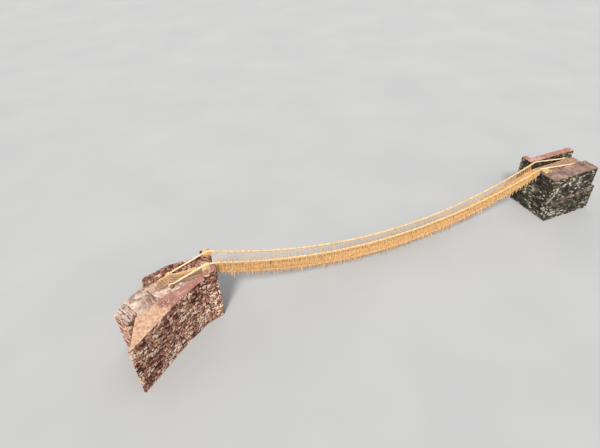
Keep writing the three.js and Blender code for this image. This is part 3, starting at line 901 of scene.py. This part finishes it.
# %% A stalk, and a way to lay many copies
def stalk(name, thickness, bend):
    """A stalk of length one along Z that bends towards X."""
    bpy.ops.mesh.primitive_cylinder_add(vertices=3, radius=thickness, depth=1, location=(0, 0, 0.5))
    obj = named(name)
    settle()
    with editing():
        bpy.ops.mesh.bisect(plane_co=(0, 0, 0.55), plane_no=(0, 0, 1))
    for v in obj.data.vertices:
        slim = 0.0 if v.co.z > 0.99 else 1 - 0.3 * v.co.z
        v.co = (v.co.x * slim + bend * v.co.z**2, v.co.y * slim, v.co.z)
    with editing():
        bpy.ops.mesh.remove_doubles(threshold=0.0001)
        bpy.ops.mesh.normals_make_consistent(inside=False)
    return obj


def copies(name, model, places, draw, tones=None):
    """A copy of a model at each place, a matrix each, as one piece. Tones are drawn if not given."""
    places = list(places)
    tones = tones or [draw.random() for _ in places]
    model_points = np.array([(*v.co, 1.0) for v in model.data.vertices])
    model_faces = [tuple(p.vertices) for p in model.data.polygons]
    points = np.concatenate([(model_points @ np.array(m.transposed()))[:, :3] for m in places])
    count = len(model_points)
    faces = [tuple(i + n * count for i in f) for n in range(len(places)) for f in model_faces]
    piece = mesh_piece(name, points, faces, np.repeat(tones, len(model_faces)))
    grain = [(p[2] * 0.2 + 5.7 * n, n, 0) for n in range(len(places)) for p in model_points]
    store(piece, "grain", "FLOAT_VECTOR", "POINT", grain)
    return piece


def laid(root, direction, length, droop=-UP):
    """The place of a stalk from its root, its direction and its length. It bends towards droop."""
    ahead = direction.normalized()
    bend = droop - ahead * droop.dot(ahead)
    if bend.length < 0.01:
        bend = ahead.orthogonal()
    bend.normalize()
    turn = Matrix((bend, ahead.cross(bend), ahead)).transposed().to_4x4()
    return Matrix.Translation(root) @ turn @ Matrix.Scale(length, 4)


def joined(name, *objects):
    pick(*objects)
    bpy.ops.object.join()
    return named(name)


thin_stalk = stalk("thin_stalk", 0.014, 0.3)
short_stalk = stalk("short_stalk", 0.035, 0.25)
long_stalk = stalk("long_stalk", 0.011, 0.06)
print("a stalk has", len(thin_stalk.data.polygons), "faces")

# %% [markdown]
# ## The lines of the ropes
# Between the sills the floor ropes hang in a parabola, because the deck weighs about the same for every
# metre. The handrails hang above it, and come closer together at mid-span. Behind the sills the floor
# ropes lie on the path, climb over the anchor log and end in loose tails.

# %% Ways of the ropes, from the left end to the right
FLAT = 0.092  # middle of a floor rope above what it lies on
LOG_RADIUS = 0.12
LOG_Z = PATH_TOP + LOG_RADIUS
LEFT_LOG, RIGHT_LOG = -17.0, 17.7
LEFT_TAILS, RIGHT_TAILS = (0.52, 0.64, 0.46, 0.33), (0.64, 0.54, 0.72, 0.59)
TAIL_DROP, TAIL_TURN = 0.24, radians(-18)
LEFT_PADS = {-1: (-14.74, -14.52), 1: (-14.34, -14.12)}  # where each handrail lies on its pad
RIGHT_PADS = (14.28, 14.52)
SPAN = [x / 2 for x in range(-28, 29)]


def along_span(values, x):
    """A quadratic through the values at the left end, the middle and the right end."""
    left, middle, right = values
    t = x / HALF_SPAN
    return middle + (right - left) / 2 * t + ((right + left) / 2 - middle) * t * t


def under_z(x):
    return -SAG * (1 - (x / HALF_SPAN) ** 2)


def rail_at(side, x):
    return Vector((x, side * along_span(RAIL_GAUGE, x), under_z(x) + along_span(RAIL_HEIGHT, x)))


def over_log(log_x, y, radius, to_span, last):
    """From the top side towards the span, round the log, in degrees."""
    reach = LOG_RADIUS + radius * 0.93
    turns = [radians(a) for a in range(45, last + 1, 15)]
    return [Vector((log_x + to_span * reach * cos(a), y, LOG_Z + reach * sin(a))) for a in turns]


def floor_way(i):
    y = (i - 1.5) * ROPE_SPACING
    ends = []
    for log_x, to_span, tail, turn in (
        (LEFT_LOG, 1, LEFT_TAILS[i], TAIL_TURN),
        (RIGHT_LOG, -1, RIGHT_TAILS[i], 0.0),
    ):
        turns = over_log(log_x, y, ROPE_RADIUS, to_span, 135)
        climb = Vector((turns[0].x + to_span * (turns[0].z - FLAT) * sqrt(3), y, FLAT))
        rest = Vector((turns[-1].x - to_span * TAIL_DROP, y, PATH_TOP + FLAT))
        loose = rest + tail * Vector((-to_span * cos(turn), sin(turn), 0))
        ends.append([climb, *turns, rest, loose])
    span = [Vector((x, y, under_z(x) + FLAT)) for x in SPAN]
    return [MID + p for p in rounded([*reversed(ends[0]), *span, *ends[1]])]


def rail_way(side):
    way = [
        *reversed(over_log(LEFT_LOG, side * 0.55, RAIL_RADIUS, 1, 195)),
        *[Vector((x, side * 0.628, 1.085)) for x in LEFT_PADS[side]],
        *[rail_at(side, x) for x in SPAN],
        *[Vector((x, side * 0.56, 0.68)) for x in RIGHT_PADS],
        *over_log(RIGHT_LOG, side * 0.52, RAIL_RADIUS, -1, 195),
    ]
    return [MID + p for p in rounded(way)]


floor_ways = [floor_way(i) for i in range(4)]
rail_ways = {"near": rail_way(-1), "far": rail_way(1)}
for name, way in (("floor rope", floor_ways[0]), ("handrail", rail_ways["near"])):
    print(name, "is", round(measure(way), 2), "metres long")

# %% [markdown]
# ## Floor ropes and handrails
# The strands are laid by hand and are never quite clean: stalk ends stick out of them everywhere.
# The loose ends are bound with cord so that the lay doesn't open, and beyond the binding they fray.

# %% Ropes
FUZZ_PER_METRE = 26
BINDING, BINDING_STEP = 0.009, 0.01
FLOOR_LAY, RAIL_LAY = 0.62, 0.42  # the length in which a strand winds once round its rope


def fuzz(route, radius, draw):
    """Short stalk ends that stick out of a rope."""
    points = resample(route, 1 / FUZZ_PER_METRE)
    for point, (ahead, level, upright) in zip(points, sides_of(points)):
        turn = draw.uniform(0, 2 * pi)
        out = cos(turn) * level + sin(turn) * upright
        direction = out * draw.uniform(0.35, 1.0) + ahead * draw.uniform(-1, 1)
        yield laid(point + out * radius * 0.8, direction, draw.uniform(0.03, 0.11))


def fray(end, ahead, radius, count, draw):
    """The open end of a rope."""
    for _ in range(count):
        across = jitter(draw, 1, 1, 1)
        across -= ahead * across.dot(ahead)
        root = end - ahead * 0.1 + across * radius * 0.55
        yield laid(root, ahead + across * draw.uniform(0.1, 0.6), draw.uniform(0.12, 0.3))


def rope(name, route, radius, pitch, tails, seed):
    """Three strands, bound near the ends. A rope with tails is bound twice and frays more."""
    draw = random.Random(seed)
    strands = [wind(route, radius * STRAND_OUT, pitch, k / 3, 8) for k in range(3)]
    strands = rods(name + "_strands", strands, radius * STRAND, 6, STRAND_TWIST)
    length, points = measure(route), resample(route, BINDING_STEP)
    at_ends = (0.1, 0.28, length - 0.38, length - 0.2) if tails else (0.12, length - 0.22)
    starts = [int(distance / BINDING_STEP) % len(points) for distance in at_ends]
    turns = [wind(points[at : at + 9], radius + 0.008, 0.02, 0.3) for at in starts]
    bindings = rods(name + "_bindings", turns, BINDING, 4, 0)
    straws = copies(name + "_fuzz", short_stalk, fuzz(route, radius, draw), draw)
    places = []
    for end, behind in ((route[0], route[3]), (route[-1], route[-4])):
        places += fray(end, (end - behind).normalized(), radius, 60 if tails else 30, draw)
    frayed = copies(name + "_frayed", thin_stalk, places, draw)
    return joined(name, strands, bindings, straws, frayed)


for i, way in enumerate(floor_ways):
    obj = rope(f"floor_rope_{i + 1}_laid", way, ROPE_RADIUS, FLOOR_LAY, True, 40 + i)
    keep(obj, far_floor_grass if i == 3 else floor_grass, "grass_rope", f"floor_rope_{i + 1}")
for side, way in rail_ways.items():
    obj = rope(f"{side}_handrail_laid", way, RAIL_RADIUS, RAIL_LAY, False, 50)
    keep(obj, rope_grass, "grass_rope", f"handrail_rope_{side}")

# %% [markdown]
# ## Side lacing
# One long cord joins the handrail to the outer floor rope. It winds round the rail, drops to the floor
# rope, winds round that, runs on and climbs again. A thinner one does the same between the drops of
# the first, and leans as it climbs, so that one broken drop doesn't open the side.
# A cord thinner still binds both ropes all the way. The ends of its stalks hang out below the floor as
# a fringe. Every four metres are one panel, which is tied off before the next one is begun.

# %% Lacing panels
CORD, THIN_CORD, WHIP = 0.0135, 0.0115, 0.006  # half thicknesses; the last also sews the mats
CORD_PITCH, RAIL_WHIP, FOOT_WHIP = 0.028, 0.115, 0.17  # the length of one turn
THIN_LEAN = (0.14, 0.02)
PANELS, PANEL = 7, 4
DROPS, DROP_GAP = 20, 0.2
SILL_INSET = 0.12
SHORT_PER_METRE = 34  # short stalks of the fringe


def panel_ends(i, inset):
    """Where a panel starts and stops, with the first and the last kept clear of the sills."""
    x0 = -HALF_SPAN + i * PANEL
    x1 = x0 + PANEL
    return x0 + (SILL_INSET if i == 0 else inset), x1 - (SILL_INSET if i == PANELS - 1 else inset)


def foot_at(side, x):
    return Vector((x, side * 1.5 * ROPE_SPACING, under_z(x) + FLAT))


def around(middle, side, radius, turn):
    """A point on a rope. 0 degrees is the outside of the bridge, 90 the top."""
    a = radians(turn)
    return middle + radius * Vector((0, side * cos(a), sin(a)))


def turns_round(line, side, x, radius, start, stop):
    """Turns of a cord round a rope, from one angle to another in steps of 45 degrees."""
    angles = np.linspace(start, stop, round(abs(stop - start) / 45) + 1)
    return [around(line(side, x + CORD_PITCH * abs(a - start) / 360), side, radius, a) for a in angles]


def lacing_route(side, drops, thickness, lean, draw):
    """A cord's way up and down between the floor rope and the rail. lean is how far along the
    bridge its rising and its falling drops end from where they start."""
    route = []
    on_rail, on_foot = RAIL_RADIUS + thickness, ROPE_RADIUS + thickness
    for k, drop in enumerate(drops):
        x = drop + draw.uniform(-0.02, 0.02)
        slant = lean[k % 2] + draw.uniform(-0.025, 0.025)
        if k % 2:
            start = turns_round(rail_at, side, x, on_rail, 90, -360)
            end = turns_round(foot_at, side, x + slant, on_foot, 0, -360)
        else:
            start = turns_round(foot_at, side, x, on_foot, -360, 0)
            end = turns_round(rail_at, side, x + slant, on_rail, 0, 450)
        between = [start[-1].lerp(end[0], n / 4) + jitter(draw, 0.012, 0.008, 0) for n in (1, 2, 3)]
        route += [*start, *between, *end]
    return [MID + p for p in route]


def whipping(line, side, x0, x1, radius, pitch, start):
    middle = [MID + line(side, x0 + (x1 - x0) * n / 40) for n in range(41)]
    return wind(middle, radius + WHIP * 0.7, pitch, start, 9)


def fringe(side, x0, x1, draw):
    """Pointed tufts that hang below the outer floor rope, and short stalks between them."""
    x = x0 + 0.06
    while x < x1:
        heading, outwards = draw.uniform(-0.4, 0.5), draw.uniform(0.15, 0.6)
        hang = Vector((heading, side * outwards, -1)).normalized() * draw.choice((0.26, 0.34, 0.4, 0.5))
        tip = MID + around(foot_at(side, x), side, ROPE_RADIUS, -60) + hang
        for _ in range(draw.randint(15, 21)):
            start = foot_at(side, x + draw.uniform(-0.06, 0.06))
            root = MID + around(start, side, ROPE_RADIUS * 0.9, draw.uniform(-75, -15))
            aim = tip + jitter(draw, 0.035, 0.035, 0.035) - root
            yield laid(root, aim, aim.length * draw.uniform(0.55, 1.05))
        x += draw.uniform(0.15, 0.27)
    for _ in range(round((x1 - x0) * SHORT_PER_METRE)):
        middle = foot_at(side, draw.uniform(x0, x1))
        root = MID + around(middle, side, ROPE_RADIUS * 0.9, draw.uniform(-95, 10))
        heading, outwards = draw.uniform(-0.9, 0.9), draw.uniform(0.25, 1.0)
        out = Vector((heading, side * outwards, draw.uniform(-1.1, -0.2)))
        yield laid(root, out, draw.uniform(0.08, 0.2))


for side_name, side in (("near", -1), ("far", 1)):
    for i in range(PANELS):
        draw = random.Random(100 * side + i)
        name = f"{side_name}_lacing_{i + 1}"
        x0 = -HALF_SPAN + i * PANEL
        drops = [x0 + (k + 0.5) * DROP_GAP for k in range(DROPS)]
        upright = lacing_route(side, drops, CORD, (0, 0), draw)
        upright = rods(name + "_cord", [upright], CORD, 6)
        drops = [x0 + k * DROP_GAP for k in range(1 if i == 0 else 0, DROPS)]
        slanting = lacing_route(side, drops, THIN_CORD, THIN_LEAN, draw)
        slanting = rods(name + "_thin_cord", [slanting], THIN_CORD, 4)
        ends = panel_ends(i, 0.004)
        rail_whip = whipping(rail_at, side, *ends, RAIL_RADIUS, RAIL_WHIP, draw.random())
        foot_whip = whipping(foot_at, side, *ends, ROPE_RADIUS, FOOT_WHIP, draw.random())
        whip = rods(name + "_whipping", [rail_whip, foot_whip], WHIP, 4)
        straws = copies(name + "_fringe", thin_stalk, fringe(side, *ends, draw), draw)
        keep(joined(name + "_wound", upright, slanting, whip), cord_grass, "grass_cord", name)
        keep(straws, fringe_straw, "grass_cord")

# %% [markdown]
# ## The deck
# Sticks lie across the four floor ropes, close enough to step on, and are sewn to each other with cord.
# Straw is worked in on top until the deck is a thick, springy mat. Each mat is rolled out from the
# finished part of the bridge, and the next one is tied to its end.

# %% Deck mats
STICK_GAP = 0.046
STICK_Z = FLAT + ROPE_RADIUS + 0.012
STRAW_Z = STICK_Z + 0.012
DECK_HALF = 0.42
SEAMS = (-0.35, -0.232, 0.0, 0.232, 0.35)
STRAWS = 1320

bpy.ops.mesh.primitive_cylinder_add(vertices=6, radius=1, depth=1)
stick = named("stick")
settle()
with editing(None):
    for cut_at in (-0.2, 0.2):
        bpy.ops.mesh.select_all(action="SELECT")
        bpy.ops.mesh.bisect(plane_co=(0, 0, cut_at), plane_no=(0, 0, 1))
for v in stick.data.vertices:
    v.co.x += 0.8 * cos(v.co.z * 7)  # crooked, in units of its radius
    v.co.y += 0.5 * sin(v.co.z * 9)


def on_deck(x, y, rise):
    return MID + Vector((x, y, under_z(x) + rise))


def stick_place(x, draw):
    length, radius = draw.uniform(0.80, 0.88), draw.uniform(0.008, 0.015)
    across = (SIDEWAYS + jitter(draw, 0.05, 0, 0.01)).normalized()
    turn = Matrix((Vector((1, -across.x, 0)).normalized(), UP, across)).transposed()
    size = Matrix.Diagonal((radius, radius, length, 1))
    spin = Matrix.Rotation(draw.uniform(0, 6.28), 4, "Z")
    middle = on_deck(x, draw.uniform(-0.012, 0.012), STICK_Z + draw.uniform(-0.003, 0.003))
    return Matrix.Translation(middle) @ turn.to_4x4() @ spin @ size


def sewing(y, x0, x1, phase):
    """A cord that goes over one stick and under the next."""
    count = round((x1 - x0) / STICK_GAP)
    points = []
    for n in range(count + 1):
        rise = STICK_Z + (0.017 if (n + phase) % 2 else -0.015)
        points.append(on_deck(x0 + n * (x1 - x0) / count, y + 0.004 * sin(3 * n), rise))
    return points


def straw_place(x0, x1, draw):
    crosswise = draw.random() < 0.5
    length = draw.uniform(0.25, 0.6)
    reach = DECK_HALF + 0.02 - (length / 2 if crosswise else 0.03)
    x, y = draw.uniform(x0, x1), draw.uniform(-reach, reach)
    heading = pi / 2 + draw.gauss(0, 0.12) if crosswise else draw.gauss(0, 0.2)
    heading += pi if draw.random() < 0.5 else 0.0
    downhill = Vector((1, 0, 2 * SAG * x / HALF_SPAN**2)).normalized()
    direction = downhill * cos(heading) + SIDEWAYS * sin(heading)
    direction.z += draw.uniform(-0.03, 0.06)
    root = on_deck(x, y, STRAW_Z + draw.uniform(0.0, 0.026)) - direction * length / 2
    root.y = min(max(root.y, MID.y - DECK_HALF - 0.02), MID.y + DECK_HALF + 0.02)
    return laid(root, direction, length, SIDEWAYS * draw.choice((-1, 1)))


for i in range(PANELS):
    draw = random.Random(300 + i)
    name = f"deck_mat_{i + 1}"
    x0, x1 = panel_ends(i, 0.012)
    count = round((x1 - x0) / STICK_GAP)
    places = [stick_place(x0 + (n + 0.5) * (x1 - x0) / count, draw) for n in range(count)]
    keep(copies(name + "_sticks", stick, places, draw), stick_wood, "stick_mat", name)
    seams = [sewing(y, x0, x1, n) for n, y in enumerate(SEAMS)]
    keep(rods(name + "_sewing", seams, WHIP, 4), cord_grass, "stick_mat")
    places = [straw_place(x0 + 0.1, x1 - 0.1, draw) for _ in range(STRAWS)]
    keep(copies(name + "_straw", long_stalk, places, draw), deck_straw, "stick_mat")

# %% [markdown]
# ## Mud on the walls
# The walls beside the paths are closed with mud, which sheds the rain. It was patted on by hand, so it
# swells over the edges of the stones and is nowhere flat. A copy of each solid cap is cut into small
# even faces and pushed about by noise. Pebbles were mixed in, and some show.

# %% Mud caps and their pebbles
bpy.ops.mesh.primitive_ico_sphere_add(subdivisions=1, radius=1)
pebble = named("pebble")
with editing():
    bpy.ops.mesh.vertices_smooth(factor=0.3)


def mud_cap(node, finish, pebbles, seed, skin=0.0):
    """Mud in place of a solid cap. With a skin, mud on top of a solid, that thick, over its stones."""
    draw = random.Random(seed)
    obj = copy_of(node, node + "_patted")
    if skin:
        under = (0, 0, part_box(node)[1].z - skin)
        with editing():
            bpy.ops.mesh.bisect(plane_co=under, plane_no=(0, 0, 1), use_fill=True, clear_inner=True)
    harden(obj, "REMESH", mode="VOXEL", voxel_size=0.03 if skin else 0.05)
    over = 0.03 if skin else 0.0
    for v in obj.data.vertices:
        lumps = noise.fractal(v.co * 2.1, 0.7, 2.0, 4)
        swell = 0.03 + over / 2 + 0.03 * lumps
        v.co.x += v.normal.x * swell
        v.co.y += v.normal.y * swell
        v.co.z += max(v.normal.z, 0.0) * max(over, 0.012 + over + 0.035 * lumps)
    pick(obj)
    bpy.ops.object.shade_smooth()
    tops = [p for p in obj.data.polygons if p.normal.z > 0.8]
    places, tones = [], []
    for polygon in draw.choices(tops, k=pebbles):
        size = draw.choice((0.014, 0.02, 0.028, 0.04))
        shape = Matrix.Diagonal((size * draw.uniform(0.8, 1.5), size, size * draw.uniform(0.4, 0.7), 1))
        spin = Matrix.Rotation(draw.uniform(0, 6.28), 4, "Z")
        places.append(Matrix.Translation(polygon.center) @ spin @ shape)
        tones.append(draw.uniform(0.2, 1.0))
    keep(obj, finish, "red_mud", *([] if skin else [node]))
    keep(copies(node + "_pebbles", pebble, places, draw, tones), paving_stone, "red_mud")


mud_cap("left_near_mud_cap", left_mud, 260, 61)
mud_cap("left_near_pillar", left_mud, 30, 64, skin=0.09)
mud_cap("right_near_mud_cap", brown_mud, 170, 62)
mud_cap("right_far_mud_cap", pink_mud, 90, 63)

# %% [markdown]
# ## Straw pads
# Where a handrail bends over its pillar it would saw itself through on the stone. A bundle of soft
# straw, tied three times, lies under it.

# %% Pads under the handrails
PAD_STRAWS = 1150
TIE = 0.008
TIED_AT = (-0.62, 0.0, 0.6)  # as shares of half a pad's length


def straw_pad(node, finish, seed):
    draw = random.Random(seed)
    low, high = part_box(node)
    middle, half = (low + high) / 2, (high - low) / 2
    core = copy_of(node, node + "_core")
    harden(core, "REMESH", mode="VOXEL", voxel_size=0.025)
    places = []
    for _ in range(PAD_STRAWS):
        turn = draw.uniform(0, 2 * pi)
        out = Vector((half.x * cos(turn), 0, half.z * sin(turn)))
        length = draw.uniform(0.18, 0.46)
        heading = draw.choice((-1, 1))
        root = middle + out * draw.uniform(1.0, 1.16)
        root.y += draw.uniform(-1, 1) * half.y - heading * length / 2
        direction = Vector((draw.uniform(-0.16, 0.16), heading, draw.uniform(-0.06, 0.1)))
        places.append(laid(root, direction, length, out.normalized()))
    straws = copies(node + "_straws", long_stalk, places, draw)
    loops = []
    for y in TIED_AT:
        turns = [n * 2 * pi / 16 for n in range(34)]
        ring = [(1.12 * cos(a), y + 0.004 * a / half.y, 1.16 * sin(a)) for a in turns]
        loops.append([middle + half * Vector(p) for p in ring])
    ties = rods(node + "_ties", loops, TIE, 6)
    obj = joined(node + "_bundle", core, straws)
    keep(obj, finish, "straw", node)
    keep(ties, cord_grass, "straw")


straw_pad("left_near_pad", pale_pad_straw, 71)
straw_pad("left_far_pad", pad_straw, 72)
straw_pad("right_near_pad", pale_pad_straw, 73)

# %% [markdown]
# ## Timber
# The sill beams are squared with an adze and the anchor logs are round trunks. The rods above make
# a trunk too, with a radius that changes from ring to ring. The beam is a block whose faces are cut
# up, roughened and broken at the edges.

# %% Logs and sills
TRUNK_RINGS = 11


def trunk(node, x, seed):
    draw = random.Random(seed)
    low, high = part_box(node)
    points, sizes = [], []
    for y in np.linspace(low.y, high.y, TRUNK_RINGS):
        points.append(Vector((MID.x + x, y, MID.z + LOG_Z)) + jitter(draw, 0.004, 0, 0.003))
        sizes.append(LOG_RADIUS - 0.006 + draw.uniform(-0.004, 0.004))
    keep(rods(node + "_trunk", [points], [sizes], 16, 0), timber, "timber", node)


def squared_beam(node, seed):
    low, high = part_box(node)
    bpy.ops.mesh.primitive_cube_add(size=1, location=(low + high) / 2, scale=high - low)
    obj = named(node + "_adzed")
    settle()
    harden(obj, "BEVEL", width=0.014, segments=2)
    with editing():
        bpy.ops.mesh.subdivide(number_cuts=7)
    store(obj, "grain", "FLOAT_VECTOR", "POINT", [(v.co.y, v.co.x, v.co.z) for v in obj.data.vertices])
    for v in obj.data.vertices:
        v.co -= v.normal * 0.006 * (0.5 + 0.5 * noise.noise(v.co * 7 + Vector((seed, 0, 0))))
    pick(obj)
    bpy.ops.object.shade_smooth_by_angle(angle=radians(30))
    keep(obj, timber, "timber", node)


trunk("left_anchor_log", LEFT_LOG, 81)
trunk("right_anchor_log", RIGHT_LOG, 82)
squared_beam("left_sill_beam", 83)
squared_beam("right_sill_beam", 84)

# %% [markdown]
# ## Last things
# The models that were only there to be copied are thrown away. The floor gets its finish, and the
# number of triangles added is printed.

# %% Tidy up and finish
for model in (thin_stalk, short_stalk, long_stalk, stick, pebble):
    bpy.data.objects.remove(model)

studio = Finish("studio_floor", 0.9)
drift = studio.noise(0.12, 2.0, 0.5)
pale = studio.ramp(drift, (0.3, (172, 172, 171)), (0.7, (178, 177, 175)))
floor.data.materials.append(studio.done(pale, drift, 0.001))

print(sum(triangles.values()), "triangles added; largest piece", max(triangles.values()))
